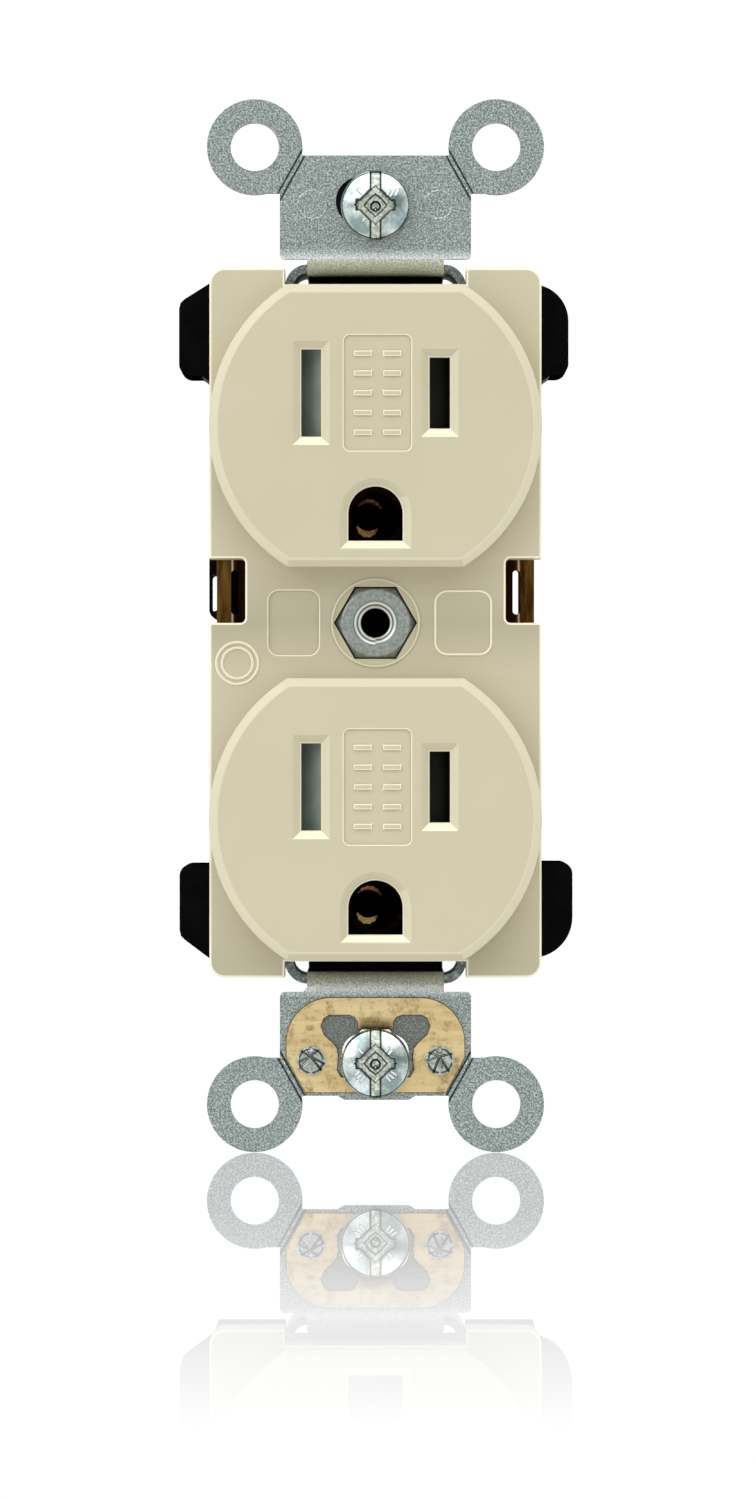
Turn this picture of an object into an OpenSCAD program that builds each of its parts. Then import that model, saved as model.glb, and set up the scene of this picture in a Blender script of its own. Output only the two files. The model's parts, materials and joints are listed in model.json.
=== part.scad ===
// Duplex wall outlet, back and side wired: an ivory face cover and a black rear body
// held together by a wrap-around steel strap and a riveted centre post. Inside are two
// brass line contacts, two riveted ground contacts and two sprung blade shutters. Wire
// clamps sit on both sides, a ground clamp on the back and a captive box screw at each end.
// Millimetres. +X is to the right seen from the front, -Y is the front and +Z is up. The
// origin is on the axis of the cover-plate screw, in the rear plane of the strap's ears.

/* [Standard pitches] */
// Distance between the centres of the two outlet faces
outlet_pitch = 38.9; // [38.7:0.1:39.1]
// Distance between the two blade slots of one outlet
blade_pitch = 12.7; // [12.6:0.1:12.8]
// Height of the blade slots above the centre of their face
blade_rise = 3.2; // [3:0.1:3.4]
// Drop from the blade slots to the round ground pin
ground_drop = 11.9; // [11.8:0.1:12]
// Distance between the two box screws
box_screw_pitch = 83.34; // [83.2:0.02:83.5]

/* [Face cover] */
// Width of the face cover
cover_w = 32.9; // [32.5:0.1:33.3]
// Height of the face cover
cover_h = 70.3; // [70:0.1:70.4]
// Distance from the ear plane forward to the flat base of the cover
cover_front = 3.4; // [3.2:0.1:3.6]
// Distance from the ear plane forward to the raised faces
face_front = 7.3; // [7.1:0.1:7.6]
// Distance from the ear plane back to the cover's rear edge
cover_back = 5; // [4.8:0.1:5.2]
// Wall thickness of the cover
cover_wall = 1.6; // [1.4:0.1:1.7]
// Height across the flats of a raised face
face_flat = 27.9; // [27.5:0.1:28.2]
// Width of the chamfer around a raised face
rim_w = 0.75; // [0.5:0.05:1]
// Radius of the cover's corners
corner_r = 1.5; // [1:0.1:2]
// Width of the notch in each end of the cover
end_notch_w = 18; // [17.9:0.1:18.4]
// Depth of the notch in each end of the cover
end_notch_d = 1.6; // [1.5:0.1:1.7]
// Distance from the middle to the inner edge of a side notch
side_notch_x = 12.9; // [12.7:0.1:13]
// Height of a side notch, measured up from the middle of the cover
side_notch_h = 6.4; // [6.2:0.1:6.6]

/* [Blade and pin openings] */
// Width of the line blade slot, on the right
hot_slot_w = 2; // [1.9:0.05:2.1]
// Height of the line blade slot
hot_slot_h = 7; // [6.8:0.1:7.2]
// Width of the neutral blade slot, on the left
neutral_slot_w = 1.94; // [1.9:0.02:2.1]
// Height of the neutral blade slot
neutral_slot_h = 8.6; // [8.4:0.1:8.8]
// Radius of the round top of the ground hole
ground_hole_r = 2.68; // [2.6:0.02:2.75]
// Width of the sloped lead-in around each opening
lead_in = 0.85; // [0.6:0.05:0.9]

/* [Strap] */
// Thickness of the strap
strap_t = 1.27; // [1.2:0.01:1.35]
// Radius of an ear
ear_r = 4.75; // [4.6:0.05:4.9]
// Radius of the hole in an ear
ear_hole_r = 2.4; // [2.2:0.1:2.5]
// Distance from the middle to an ear's centre, sideways
ear_x = 12; // [11.8:0.1:12.2]
// Distance from the middle to an ear's centre, along the strap
ear_z = 47.55; // [47.45:0.05:47.65]
// Width of the strap's end plates
plate_w = 19; // [18.8:0.1:19.2]
// Distance from the middle to the outer edge of an end plate
plate_end = 46.7; // [46.65:0.05:46.75]
// Distance from the middle to the shoulders of an end plate
shoulder = 36.4; // [36.35:0.05:36.45]
// How far the end plates sit below the middle of the cover
plate_drop = 0.25; // [0.2:0.05:0.3]
// Width of the strap's neck and of its web behind the body
neck_w = 13.6; // [13.4:0.1:13.7]
// Distance from the middle to the inner side of the strap's end shelf
shelf_in = 34.7; // [34.65:0.05:34.75]
// Outer radius of the bend between neck and shelf
neck_bend_r = 2; // [1.9:0.05:2.1]

/* [Rear body] */
// Distance from the ear plane back to the rear of the body
body_back = 21; // [20.8:0.1:21.2]
// Half width of the core between the two rows of terminals
core_x = 10.75; // [10.7:0.05:10.8]
// Depth of the contact pockets, measured from the ear plane
pocket_back = 16; // [15.9:0.1:16.2]

/* [Contacts] */
// Thickness of the brass strip
brass_t = 0.8; // [0.7:0.05:0.8]
// Gap between the two leaves of a blade contact when empty
leaf_gap = 1.2; // [1.1:0.05:1.3]
// Inner radius of a ground sleeve
sleeve_r = 2.37; // [2.35:0.01:2.4]
// Wall thickness of a ground sleeve
sleeve_t = 0.65; // [0.6:0.05:0.7]

/* [Shutters] */
// Travel of a shutter
shutter_travel = 2.4; // [2.3:0.05:2.5]
// Thickness of a shutter, front to back
shutter_t = 4.4; // [4.3:0.05:4.45]
// Wire diameter of a shutter spring
spring_wire_d = 0.28; // [0.26:0.01:0.3]
// Number of turns of a shutter spring
spring_turns = 6; // [5:1:6]

/* [Terminals] */
// Height of the upper terminals above the middle
upper_terminal_z = 15; // [14.8:0.1:15.2]
// Height of the lower terminals, below the middle
lower_terminal_z = -10.5; // [-10.7:0.1:-10.3]
// Distance from the ear plane back to the terminal screws
terminal_y = 11.5; // [11.3:0.1:11.7]
// Outer face of the terminal plates, measured from the middle
terminal_x = 11.6; // [11.55:0.05:11.65]
// Radius of a terminal screw's thread
terminal_thread_r = 2.08; // [2.06:0.01:2.1]
// Radius of a terminal screw's head
terminal_head_r = 4.1; // [4:0.1:4.2]
// Height of the ground screw, below the middle
ground_screw_z = -11.5; // [-11.7:0.1:-11.3]

/* [Box screws] */
// Radius of a box screw's thread
box_thread_r = 1.75; // [1.73:0.01:1.77]
// Radius of a box screw's head
box_head_r = 3.43; // [3.4:0.01:3.5]
// Length of a box screw under its head
box_screw_l = 25.4; // [25:0.1:26]
// How far the lower box screw hangs below its working place
lower_screw_sag = 1.75; // [1.7:0.05:1.8]

/* [Hidden] */
$fn = 64;
eps = 0.01;
cut = 1;
// outlet 1 is the upper one and outlet -1 the lower one; side 1 is hot and side -1 neutral
face_r = cover_w / 2;
half_h = cover_h / 2;
blade_x = blade_pitch / 2;
hex_head_flats = 6.9;
hex_pocket_flats = 7.15;
hex_head_back = 1.5;
post_shank_r = 2.5;
cover_screw_r = 1.4;
post_bore_back = 11;
web_front = body_back;
web_back = body_back + strap_t;
web_bend_r = 2.5;
shelf_flange_r = 2.25;
shelf_flange_z = shelf_in + strap_t - shelf_flange_r;
leaf_flare = 0.7;
wing_r = 1.2;
fin_x = 15.9;
fin_window_x = 14.1;
rivet_drop = 6;
sleeve_front = 7;
foot_front = 13;
rivet_r = 1.5;
rivet_head_r = 2.4;
tapped_gap = 0.07;
shutter_front = -(face_front - cover_wall) + 0.15;
shutter_back = shutter_front + shutter_t;
shutter_h = 9.6;
shutter_left = -10.7;
shutter_right = 7.9;
tray_floor_front = shutter_back + 0.15;
tray_floor_t = 1;
window_left = -3.4;
peg_left = 1;
spring_y = shutter_front + shutter_t / 2;
spring_l = peg_left - window_left - 0.1;
spring_r = 0.95;
clamp_t = 1.2;
clamp_in = terminal_x + 0.3;
head_in = clamp_in + clamp_t + 0.1;
head_t = 2.2;
screw_inner_end = 8.6;
upper_screw_z = box_screw_pitch / 2 - plate_drop;
lower_screw_z = -box_screw_pitch / 2 - plate_drop - lower_screw_sag;
clip_t = 0.45;
box_neck_r = 1.4;

function blade_z(outlet) = outlet * outlet_pitch / 2 + blade_rise;
function ground_z(outlet) = blade_z(outlet) - ground_drop;
function rivet_z(outlet) = ground_z(outlet) + rivet_drop;
function slot_w(side) = side > 0 ? hot_slot_w : neutral_slot_w;
function slot_h(side) = side > 0 ? hot_slot_h : neutral_slot_h;

// Draws in the front view (X and Z) and grows toward the front from the plane Y = y
module from_plane(y) {
  translate([0, y, 0])
    rotate([90, 0, 0])
      children();
}

// Draws in the front view and fills from the plane Y = front to the plane Y = back
module slab(front, back) {
  from_plane(back)
    linear_extrude(back - front)
      children();
}

// A rod along Y at (x, z) in the front view
module rod_y(x, z, r, front, back) {
  slab(front, back)
    translate([x, z])
      circle(r);
}

// A rod along X on one side of the body
module rod_x(side, z, r, near, far) {
  translate([side * near, terminal_y, z])
    rotate([0, side * 90, 0])
      cylinder(r = r, h = far - near);
}

module both_ends() {
  children();
  mirror([0, 0, 1])
    children();
}

// Moves what sits on the end plates down to their level
module at_plate_level() {
  translate([0, 0, -plate_drop])
    children();
}

module both_sides() {
  children();
  mirror([1, 0, 0])
    children();
}

module rounded_rect(w, h, r) {
  square([w, h - 2 * r], center = true);
  square([w - 2 * r, h], center = true);
  for (x = [-1, 1], z = [-1, 1])
    translate([x * (w / 2 - r), z * (h / 2 - r)])
      circle(r);
}

module span(x1, x2, z1, z2) {
  translate([x1, z1])
    square([x2 - x1, z2 - z1]);
}

// ---- Face cover ----

module side_notch(extra) {
  for (side = [-1, 1])
    translate([side * (side_notch_x - extra + 5), side_notch_h / 2])
      rounded_rect(10, side_notch_h + 2 * extra, 0.5);
}

module cover_outline() {
  difference() {
    rounded_rect(cover_w, cover_h, corner_r);
    for (end = [-1, 1])
      translate([0, end * half_h])
        square([end_notch_w, 2 * end_notch_d], center = true);
    side_notch(0);
  }
}

module cover_cavity() {
  difference() {
    square([cover_w - 2 * cover_wall, cover_h - 2 * (end_notch_d + cover_wall)], center = true);
    side_notch(1.2);
  }
}

module raised_outline(inset) {
  intersection() {
    circle(face_r - inset, $fn = 128);
    square([cover_w, face_flat - 2 * inset], center = true);
  }
}

// Half profile of a raised face with a chamfered rim, from the base out to the front
module rim_profile(half_w, rise) {
  polygon([[0, 0], [half_w, 0], [half_w, rise - 0.5], [half_w - rim_w, rise], [0, rise]]);
}

module raised_face() {
  rise = face_front - cover_front + 1;
  from_plane(1 - cover_front)
    intersection() {
      rotate_extrude($fn = 128)
        rim_profile(face_r, rise);
      rotate([90, 0, 90])
        translate([0, 0, -face_r])
          linear_extrude(cover_w) {
            rim_profile(face_flat / 2, rise);
            mirror([1, 0])
              rim_profile(face_flat / 2, rise);
          }
    }
}

// A straight slot with a sloped lead-in on the front
module blade_opening(side) {
  w = slot_w(side);
  h = slot_h(side);
  translate([side * blade_x, 0, 0]) {
    slab(-face_front - cut, 0)
      square([w, h], center = true);
    translate([0, -face_front, 0])
      intersection() {
        lead_in_wedge(w, h + 2 * lead_in + 2 * cut);
        rotate([0, 90, 0])
          lead_in_wedge(h, w + 2 * lead_in + 2 * cut);
      }
  }
}

// A trapezoid trough along Z, as wide as w at its floor and wider at the front
module lead_in_wedge(w, length) {
  depth = 0.6;
  translate([0, 0, -length / 2])
    linear_extrude(length)
      polygon([
        [-w / 2, depth], [w / 2, depth],
        [w / 2 + lead_in, 0], [w / 2 + lead_in, -cut],
        [-w / 2 - lead_in, -cut], [-w / 2 - lead_in, 0]
      ]);
}

module arch(r) {
  circle(r);
  translate([-r, -ground_hole_r])
    square([2 * r, ground_hole_r]);
}

module ground_opening(outlet) {
  translate([0, 0, ground_z(outlet)]) {
    slab(-face_front - cut, 0)
      arch(ground_hole_r);
    from_plane(-face_front + 0.6)
      cylinder(r1 = ground_hole_r, r2 = ground_hole_r + lead_in, h = 0.6 + eps);
    translate([0, -face_front, 0])
      intersection() {
        lead_in_wedge(2 * ground_hole_r, 12);
        rotate([0, 90, 0])
          lead_in_wedge(2 * ground_hole_r, 12);
        translate([-6, -cut, -6])
          cube([12, 3, 6]);
      }
  }
}

module hexagon(flats) {
  circle(flats / 2 / cos(30), $fn = 6);
}

module outline_band(w, h, r, band) {
  difference() {
    rounded_rect(w, h, r);
    rounded_rect(w - 2 * band, h - 2 * band, r - band);
  }
}

module ring(outer_r, inner_r) {
  difference() {
    circle(outer_r);
    circle(inner_r);
  }
}

// Two rows of short raised bars inside the panel between the blade slots
module panel_bars(outlet) {
  slab(-face_front, 0.26 - face_front)
    for (row = [-1, 1], k = [-2:2])
      translate([0.2 + row * 1.45, blade_z(outlet) + 1.95 * k])
        square([1.8, 0.55], center = true);
}

// Low ridges: a ring round the post, a framed pad on its right, two plain rings on its left
module cover_ridges() {
  slab(-cover_front - 0.14, 0.1 - cover_front) {
    ring(4.4, 4.2);
    translate([8.7, 0])
      outline_band(5.75, 6.5, 1.3, 0.22);
    translate([-13.7, -4])
      ring(2.2, 1.95);
    translate([-13.7, -4])
      ring(1.65, 1.4);
  }
}

module face_cover() {
  color("ivory")
    difference() {
      union() {
        difference() {
          union() {
            slab(-cover_front, cover_back)
              cover_outline();
            for (outlet = [-1, 1])
              translate([0, 0, outlet * outlet_pitch / 2])
                raised_face();
          }
          slab(cover_wall - cover_front, cover_back + cut)
            cover_cavity();
          for (outlet = [-1, 1])
            translate([0, 0, outlet * outlet_pitch / 2])
              slab(cover_wall - face_front, cut)
                raised_outline(cover_wall);
        }
        rod_y(0, 0, 5.4, -cover_front, cover_back);
        cover_ridges();
      }
      for (outlet = [-1, 1]) {
        translate([0, 0, blade_z(outlet)])
          for (side = [-1, 1])
            blade_opening(side);
        ground_opening(outlet);
        difference() {
          slab(-face_front - cut, 0.25 - face_front)
            translate([0.2, blade_z(outlet)])
              rounded_rect(6.65, 11.4, 0.6);
          panel_bars(outlet);
        }
      }
      slab(-cover_front - cut, hex_head_back + 0.05)
        hexagon(hex_pocket_flats);
      rod_y(0, 0, post_shank_r + 0.1, -cover_front, cover_back + cut);
      slab(-cover_front - cut, 0.25 - cover_front)
        translate([-8.1, 0])
          rounded_rect(5, 6.4, 1.05);
    }
}

// ---- Rear body ----

module rear_outline() {
  span(-core_x, core_x, -33.3, 33.3);
  for (x = [-1, 1])
    scale_side(x) {
      span(0, 16, 24.5, 33.3);
      span(end_notch_w / 2 + 0.1, 16, 24.5, half_h - 0.5);
      span(0, 16, -33.3, -23.6);
      span(end_notch_w / 2 + 0.1, 16, 0.5 - half_h, -23.6);
    }
}

// Stands up behind the blade slots of one outlet and carries the shutter tray
module tray_seat(outlet) {
  slab(tray_floor_front + tray_floor_t + 0.05, cover_back + eps)
    translate([0, blade_z(outlet)])
      square([22.4, 11], center = true);
}

// Outline of a corner wing on the right that ends in a large round
module round_wing(tip_x, z_inner, z_end) {
  end_r = tip_x - 15.6;
  out = z_end > z_inner ? 1 : -1;
  translate([tip_x - wing_r, z_inner + out * wing_r])
    circle(wing_r);
  translate([15.6, z_end])
    circle(end_r);
  polygon([
    [15.6, z_inner], [tip_x - wing_r, z_inner], [tip_x, z_inner + out * wing_r],
    [tip_x, z_end], [15.6, z_end]
  ]);
}

// Outline of a corner wing on the right that ends in a straight slope
module sloped_wing(tip_x, z_inner, z_slope, z_root) {
  out = z_root > z_inner ? 1 : -1;
  translate([tip_x - wing_r, z_inner + out * wing_r])
    circle(wing_r);
  polygon([
    [15.6, z_inner], [tip_x - wing_r, z_inner], [tip_x, z_inner + out * wing_r],
    [tip_x, z_slope], [tip_x - 0.14, z_slope + out * 0.6], [tip_x - 0.54, z_slope + out], [15.6, z_root]
  ]);
}

module wings() {
  slab(cover_back, body_back - 4) {
    round_wing(19.3, 24.85, 30.3);
    round_wing(19.7, -23.8, -29.3);
    mirror([1, 0]) {
      sloped_wing(19.65, 24.8, 31.5, 34.7);
      sloped_wing(19.6, -24, -30.6, -34.2);
    }
    // Small webs under the upper wings
    both_sides()
      polygon([[15.6, 24.9], [17.5, 24.9], [15.6, 23.5]]);
  }
}

module blade_pocket(side, outlet) {
  z = blade_z(outlet);
  reach = leaf_gap / 2 + leaf_flare + brass_t + 0.1;
  slab(-cut, pocket_back)
    scale_side(side)
      span(blade_x - reach, blade_x + reach, z - 4.9, z + 4.9);
  arm_low = outlet > 0 ? z - 4.7 : z - 1.2;
  slab(cover_back - cut, pocket_back)
    scale_side(side)
      span(blade_x, core_x + 3, arm_low, arm_low + 3.6);
}

module scale_side(side) {
  mirror([side > 0 ? 0 : 1, 0])
    children();
}

module rear_body() {
  color("#1c1c1e")
    difference() {
      union() {
        slab(cover_back, body_back)
          rear_outline();
        // The ends stand up to the strap's shelf, in front of its rear bend
        slab(cover_back, web_back - web_bend_r)
          square([neck_w - 0.4, 2 * shelf_in - 0.1], center = true);
        for (outlet = [-1, 1])
          tray_seat(outlet);
        wings();
        // Barriers between the terminals, behind the break-off fins; the left one is longer
        slab(9, body_back) {
          span(-15.9, 15.5, 0.25, side_notch_h - 0.25);
          span(-16.7, -12, 1.5, side_notch_h + 0.2);
          translate([-15.7, 1.5])
            circle(1);
        }
        // Flanges with the wire holes, behind the clamps
        slab(17.5, body_back)
          both_sides() {
            span(0, 15.2, 8, 24.5);
            span(0, 15.2, -23.6, -3.5);
          }
      }
      for (outlet = [-1, 1], side = [-1, 1])
        blade_pocket(side, outlet);
      for (outlet = [-1, 1]) {
        slab(-cut, foot_front + brass_t)
          translate([0, (ground_z(outlet) + rivet_z(outlet)) / 2 - 0.2])
            rounded_rect(7, rivet_drop + 6.8, 2.5);
        rod_y(0, rivet_z(outlet), rivet_r + 0.05, cover_back, body_back + cut);
      }
      // Slots through the barriers, in line with the fins
      slab(9 - cut, body_back + cut) {
        translate([fin_window_x, side_notch_h / 2])
          rounded_rect(0.8, 5, 0.39);
        translate([-16.2, side_notch_h / 2])
          rounded_rect(0.7, 3.7, 0.34);
      }
      rod_y(0, 0, post_shank_r + 0.1, cover_back - cut, body_back + cut);
      rod_y(0, ground_screw_z, terminal_thread_r + 0.5, pocket_back, body_back + cut);
      for (z = [upper_terminal_z, lower_terminal_z], side = [-1, 1]) {
        for (wire = [-1, 1])
          rod_y(side * 12.8, z + wire * 3.5, 1.15, 17, body_back + cut);
        rod_x(side, z, terminal_thread_r + 0.5, screw_inner_end - 0.4, terminal_x);
      }
    }
}

// ---- Strap ----

// Side view of one end of the strap, drawn with Y across and Z up: ear plate to web
module strap_profile() {
  bend_y = neck_bend_r - strap_t;
  bend_z = shelf_in + neck_bend_r;
  back_y = web_back - web_bend_r;
  back_z = shelf_in + strap_t - web_bend_r;
  translate([-strap_t, bend_z])
    square([strap_t, shoulder + 0.9 - bend_z]);
  translate([bend_y, bend_z])
    quarter_ring(neck_bend_r, neck_bend_r - strap_t, -1, -1);
  translate([bend_y - eps, shelf_in])
    square([back_y - bend_y + 2 * eps, strap_t]);
  translate([back_y, back_z])
    quarter_ring(web_bend_r, web_bend_r - strap_t, 1, 1);
  translate([web_front, -eps])
    square([strap_t, back_z + 2 * eps]);
}

// A quarter of a ring, in the quadrant picked by the signs sx and sy
module quarter_ring(outer_r, inner_r, sx, sy) {
  intersection() {
    ring(outer_r, inner_r);
    translate([sx > 0 ? 0 : -outer_r, sy > 0 ? 0 : -outer_r])
      square(outer_r);
  }
}

// One end plate with its two ears
module end_plate_outline() {
  z1 = shoulder;
  translate([-plate_w / 2 + 0.5, z1])
    square([plate_w - 1, plate_end - z1]);
  translate([-plate_w / 2, z1 + 0.5])
    square([plate_w, 42.9 - z1]);
  for (x = [-1, 1])
    translate([x * (plate_w / 2 - 0.5), z1 + 0.5])
      circle(0.5);
  both_sides() {
    polygon([[7, plate_end], [9.5, 42.95], [ear_x, 42.95], [ear_x, ear_z]]);
    translate([ear_x, ear_z])
      circle(ear_r);
  }
}

// Double groove along which an ear snaps off
module score_lines() {
  for (x = [9.1, 9.68])
    translate([x, -strap_t, 42.95])
      rotate([0, -29.1, 0])
        translate([0, 0, -1])
          linear_extrude(6.2)
            polygon([[-0.15, -0.1], [0, 0.25], [0.15, -0.1]]);
}

module stadium(length, height) {
  square([length - height, height], center = true);
  for (x = [-1, 1])
    translate([x * (length - height) / 2, 0])
      circle(height / 2);
}

module mounting_strap() {
  color("#9aa5a2")
    difference() {
      union() {
        both_ends() {
          translate([-neck_w / 2, 0, 0])
            rotate([90, 0, 90])
              linear_extrude(neck_w)
                strap_profile();
          // The shelf's long edges are rolled down beside the body
          slab(5.1, 18)
            both_sides()
              translate([neck_w / 2, shelf_flange_z])
                quarter_ring(shelf_flange_r, shelf_flange_r - 0.85, 1, 1);
        }
        at_plate_level() {
          both_ends()
            slab(-strap_t, 0)
              end_plate_outline();
          // The lower plate is a little deeper below its screw slot and has one sloped shoulder
          slab(-strap_t, 0) {
            polygon([[-3.7, -46.5], [-3.7, -46.75], [-3.1, -47.1], [3.3, -47.1], [3.9, -46.75], [3.9, -46.5]]);
            polygon([[-7.4, -36.7], [-6.8, -35.9], [-6, -35.9], [-6, -37.2], [-7.4, -37.2]]);
          }
        }
      }
      at_plate_level() {
        both_ends()
          both_sides() {
            rod_y(ear_x, ear_z, ear_hole_r, -strap_t - cut, cut);
            score_lines();
          }
        for (x = [-1, 1])
          rod_y(x * 6.4, -43.2, 1.05, -strap_t - cut, cut);
      }
      // Box screw slots; the lower one runs down into a hole where its screw hangs
      slab(-strap_t - cut, cut) {
        translate([-0.3, upper_screw_z + 0.5])
          stadium(7.3, 4.8);
        translate([0, lower_screw_z + lower_screw_sag - 0.7])
          stadium(6.6, 3.6);
        for (rise = [0, lower_screw_sag])
          translate([0, lower_screw_z + rise])
            circle(2.05);
        span(-2.05, 2.05, lower_screw_z, lower_screw_z + lower_screw_sag);
      }
      rod_y(0, 0, post_shank_r + 0.05, web_front - cut, web_back + cut);
      for (outlet = [-1, 1])
        rod_y(0, rivet_z(outlet), rivet_r + 0.05, web_front - cut, web_back + cut);
      rod_y(0, ground_screw_z, terminal_thread_r + tapped_gap, web_front - cut, web_back + cut);
    }
}

// ---- Centre post ----

module centre_post() {
  front = 0.1 - cover_front;
  head_l = hex_head_back - front;
  corner_r1 = hex_head_flats / 2 / cos(30);
  color("#8b908a")
    difference() {
      union() {
        from_plane(hex_head_back)
          intersection() {
            linear_extrude(head_l)
              hexagon(hex_head_flats);
            rotate_extrude()
              polygon([
                [0, 0], [corner_r1, 0], [corner_r1, head_l - 0.5],
                [corner_r1 - 0.7, head_l], [0, head_l]
              ]);
          }
        rod_y(0, 0, post_shank_r, hex_head_back - eps, web_back + 0.5);
        from_plane(web_back + 1)
          cylinder(r1 = 2.9, r2 = 3.6, h = 1);
      }
      rod_y(0, 0, cover_screw_r, front - cut, post_bore_back);
      from_plane(front + 0.5)
        cylinder(r1 = cover_screw_r, r2 = cover_screw_r + 0.8 + eps, h = 0.5 + eps);
    }
}

// ---- Self-grounding clip ----

module clip_outline() {
  top = -36.9;
  bottom = -46.4;
  difference() {
    union() {
      polygon([[-8.9, top - 4.5], [-8.9, -42.9], [-7, bottom], [7, bottom], [8.9, -42.9], [8.9, top - 4.5]]);
      span(-4.4, 4.4, top - 4.6, top);
      for (x = [-1, 1])
        translate([x * 4.4, top - 4.5])
          circle(4.5);
    }
    // Opening around the screw, with a lobe on each side of the tongue
    for (x = [-1, 1])
      scale_side(x)
        polygon([
          [1.8, -39.4], [2.1, -38.9], [2.6, -38.7], [4.6, -38.7], [5.1, -39], [5.4, -39.8],
          [5.1, -40.6], [4.2, -41.4], [3.75, -42], [3.65, -43], [3.8, -44.1], [3.4, -44.8], [-eps, -44.9],
          [-eps, -40.1], [1.8, -40.1]
        ]);
  }
}

module grounding_clip() {
  color("#c9a866")
    at_plate_level()
      difference() {
        slab(-strap_t - clip_t, -strap_t)
          clip_outline();
        for (x = [-1, 1])
          rod_y(x * 6.4, -43.2, 1.05, -strap_t - clip_t - cut, cut - strap_t);
      }
}

module clip_rivets() {
  color("#b9bdb8")
    at_plate_level()
      for (x = [-1, 1]) {
        rod_y(x * 6.4, -43.2, 1, -strap_t - clip_t - 0.3, 0.3);
        rod_y(x * 6.4, -43.2, 1.42, -strap_t - clip_t - 0.5, -strap_t - clip_t);
        rod_y(x * 6.4, -43.2, 1.4, 0, 0.5);
      }
}

// ---- Line contacts ----

// Two leaves that grip a blade, joined at the back and flared at the front
module blade_contact(outlet) {
  z = blade_z(outlet);
  near = leaf_gap / 2;
  translate([blade_x, 0, z - 4.3])
    linear_extrude(8.6) {
      for (s = [-1, 1])
        polygon([
          [s * near, 8], [s * (near + leaf_flare), 5.6], [s * (near + leaf_flare + brass_t), 5.6],
          [s * (near + brass_t), 8.3], [s * (near + brass_t), 15.6], [s * near, 15.6]
        ]);
      translate([-near - brass_t, 15.6 - brass_t])
        square([2 * (near + brass_t), brass_t]);
    }
}

// Runs from a blade contact out to its terminal plate
module contact_arm(outlet) {
  z = blade_z(outlet);
  low = outlet > 0 ? z - 4.3 : z - 0.8;
  translate([blade_x + leaf_gap / 2, 15.6 - brass_t, low])
    cube([terminal_x - blade_x - leaf_gap / 2, brass_t, 2.8]);
}

module terminal_plate(z1, z2) {
  translate([terminal_x - brass_t, 6.5, z1])
    cube([brass_t, 15.6 - 6.5, z2 - z1]);
}

// Break-off fin that joins the two terminal plates through the side notch. Two legs are
// left beside its window, and the plates come apart when the fin is snapped off.
module break_off_fin() {
  front = 7;
  slab(front, front + brass_t)
    difference() {
      span(terminal_x - brass_t, fin_x, 0.15, side_notch_h + 0.25);
      translate([fin_window_x, side_notch_h / 2])
        rounded_rect(0.7, side_notch_h - 2, 0.34);
      span(terminal_x - brass_t - 1, terminal_x + 0.5, 1.6, side_notch_h - 1.6);
    }
  // Necks from the fin to the two plates
  for (z = [-0.4, side_notch_h - 1.6])
    translate([terminal_x - brass_t, 6.5, z])
      cube([brass_t, 2.2, 2]);
}

module line_contact(side) {
  scale_side_3d(side)
    difference() {
      union() {
        for (outlet = [-1, 1]) {
          blade_contact(outlet);
          contact_arm(outlet);
        }
        terminal_plate(side_notch_h, 21.6);
        terminal_plate(-16.8, 0);
        break_off_fin();
      }
      for (z = [upper_terminal_z, lower_terminal_z])
        rod_x(1, z, terminal_thread_r + tapped_gap, terminal_x - brass_t - cut, terminal_x + cut);
    }
}

module scale_side_3d(side) {
  mirror([side > 0 ? 0 : 1, 0, 0])
    children();
}

module hot_contact() {
  color("#c29a4a")
    line_contact(1);
}

module neutral_contact() {
  color("#c4b27e")
    line_contact(-1);
}

// ---- Ground contacts ----

// A rolled sleeve for the round pin, standing on a foot that is riveted to the strap
module ground_contact(outlet) {
  z = ground_z(outlet);
  color("#c29a4a")
    difference() {
      union() {
        rod_y(0, z, sleeve_r + sleeve_t, sleeve_front, foot_front + eps);
        slab(foot_front, foot_front + brass_t) {
          translate([0, z])
            circle(sleeve_r + sleeve_t);
          span(-2.5, 2.5, z, rivet_z(outlet));
          translate([0, rivet_z(outlet)])
            circle(2.6);
        }
      }
      rod_y(0, z, sleeve_r, sleeve_front - cut, foot_front + brass_t + cut);
      slab(sleeve_front - cut, foot_front - 1.5)
        span(0, 4, z - 0.8, z + 0.8);
      rod_y(0, rivet_z(outlet), rivet_r + 0.05, foot_front - cut, foot_front + 2 * brass_t);
    }
}

module ground_contact_rivets() {
  color("#b9bdb8")
    for (outlet = [-1, 1]) {
      z = rivet_z(outlet);
      rod_y(0, z, rivet_r, foot_front - 0.5, web_back + 0.5);
      rod_y(0, z, rivet_head_r, foot_front - 0.9, foot_front);
      translate([0, 0, z])
        from_plane(web_back + 0.9)
          cylinder(r1 = rivet_head_r - 0.6, r2 = rivet_head_r, h = 0.9);
    }
}

// ---- Shutters ----

// A shallow tray that guides the shutter behind the blade slots
module shutter_tray(outlet) {
  z = blade_z(outlet);
  rail = 0.6;
  guide = shutter_h / 2 + 0.1;
  color("#55595c")
    difference() {
      union() {
        slab(tray_floor_front, tray_floor_front + tray_floor_t)
          span(-11.4, 11.4, z - guide - rail, z + guide + rail);
        slab(shutter_front, tray_floor_front + eps)
          for (s = [-1, 1])
            translate([0, z + s * (guide + rail / 2)])
              square([22.8, rail], center = true);
        slab(shutter_front + 0.4, tray_floor_front + eps)
          span(peg_left, peg_left + 1, z - 0.8, z + 0.8);
      }
      slab(shutter_front, tray_floor_front + tray_floor_t + cut)
        for (side = [-1, 1])
          translate([side * blade_x, z])
            square([2.3, 9], center = true);
    }
}

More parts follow.
